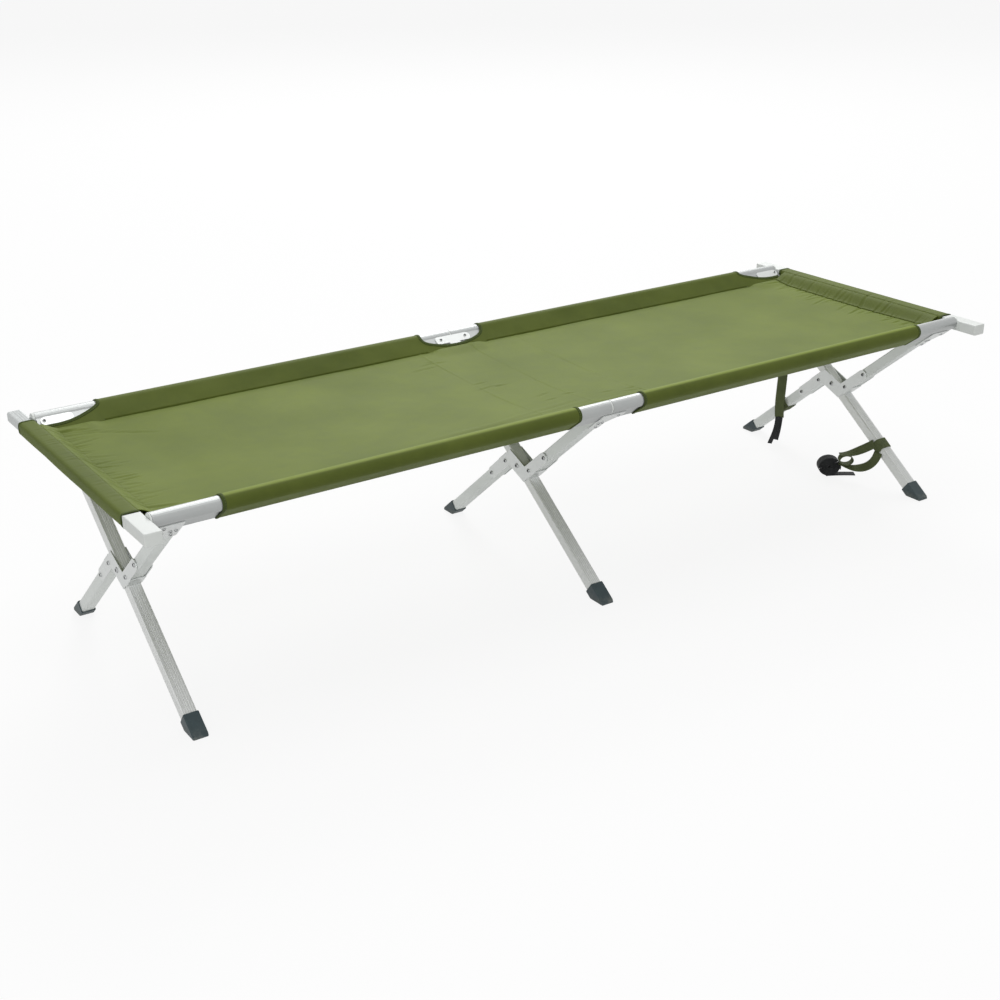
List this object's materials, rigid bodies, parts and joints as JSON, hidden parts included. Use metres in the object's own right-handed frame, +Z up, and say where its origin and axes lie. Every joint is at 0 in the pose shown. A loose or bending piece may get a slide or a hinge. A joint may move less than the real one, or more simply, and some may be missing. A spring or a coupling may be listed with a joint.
{
  "type": "folding camp bed",
  "caption": "Folding camp bed: canvas sling between two side rails on crossed aluminium legs with cranked scissor brackets, slotted-on end bars and plastic foot caps.",
  "frame": {"origin": "centre of the footprint of the whole bed, on the ground plane under the foot soles", "axes": "+X along the bed to the right in the picture, +Y from the front rail to the back rail, +Z up"},
  "size_m": [1.9, 0.67, 0.4167],
  "materials": {
    "aluminium": "satin extruded aluminium with fine ribs",
    "bright_plate": "bright satin sheet aluminium",
    "rivet_metal": "satin rivet heads",
    "white_plastic": "satin white moulded plastic",
    "foot_plastic": "dark blue-grey moulded plastic",
    "olive_canvas": "olive satin polyester canvas",
    "olive_webbing": "olive woven webbing",
    "black_webbing": "black woven webbing"
  },
  "bodies": {
    "frame_a": {"rail_back_left": "aluminium", "rail_back_right": "aluminium", "plug_back_left": "white_plastic", "plug_back_right": "white_plastic", "ring_back": "white_plastic", "leg_long_left": "aluminium", "leg_long_middle": "aluminium", "leg_long_right": "aluminium", "foot_front_left": "foot_plastic", "foot_front_middle": "foot_plastic", "foot_front_right": "foot_plastic", "bracket_back_left_lower": "bright_plate", "bracket_back_left_upper": "bright_plate", "bracket_back_middle_lower": "bright_plate", "bracket_back_middle_upper": "bright_plate", "bracket_back_right_lower": "bright_plate", "bracket_back_right_upper": "bright_plate", "pivot_rivet_left": "rivet_metal", "pivot_rivet_middle": "rivet_metal", "pivot_rivet_right": "rivet_metal", "sleeve_back_left": "olive_canvas", "sleeve_back_right": "olive_canvas", "canvas_panel": "olive_canvas", "strap_front": "olive_webbing", "strap_front_roll": "black_webbing"},
    "frame_b": {"rail_front_left": "aluminium", "rail_front_right": "aluminium", "plug_front_left": "white_plastic", "plug_front_right": "white_plastic", "ring_front": "white_plastic", "leg_upper_left": "aluminium", "leg_upper_middle": "aluminium", "leg_upper_right": "aluminium", "leg_lower_left": "aluminium", "leg_lower_middle": "aluminium", "leg_lower_right": "aluminium", "foot_back_left": "foot_plastic", "foot_back_middle": "foot_plastic", "foot_back_right": "foot_plastic", "crank_left": "bright_plate", "crank_middle": "bright_plate", "crank_right": "bright_plate", "bracket_front_left_lower": "bright_plate", "bracket_front_left_upper": "bright_plate", "bracket_front_middle_lower": "bright_plate", "bracket_front_middle_upper": "bright_plate", "bracket_front_right_lower": "bright_plate", "bracket_front_right_upper": "bright_plate", "sleeve_front_left": "olive_canvas", "sleeve_front_right": "olive_canvas", "strap_back": "olive_webbing", "strap_back_tails": "black_webbing"},
    "end_left": {"end_bar_left": "aluminium", "bar_cap_left_front": "white_plastic", "end_sleeve_left": "olive_canvas"},
    "end_right": {"end_bar_right": "aluminium", "bar_cap_right_front": "white_plastic", "bar_cap_right_back": "white_plastic", "end_sleeve_right": "olive_canvas"}
  },
  "joints": [
    {"name": "scissor_fold", "type": "hinge", "parent": "frame_a", "child": "frame_b", "pos_m": [0, 0, 0.199], "axis": [-1, 0, 0], "range_deg": [0, 99.3], "deforming": ["canvas_panel", "strap_back", "strap_back_tails"]},
    {"name": "end_left_pull", "type": "slide", "parent": "frame_a", "child": "end_left", "axis": [-1, 0, 0], "range_m": [0, 0.016]},
    {"name": "end_right_pull", "type": "slide", "parent": "frame_a", "child": "end_right", "axis": [1, 0, 0], "range_m": [0, 0.016]}
  ]
}
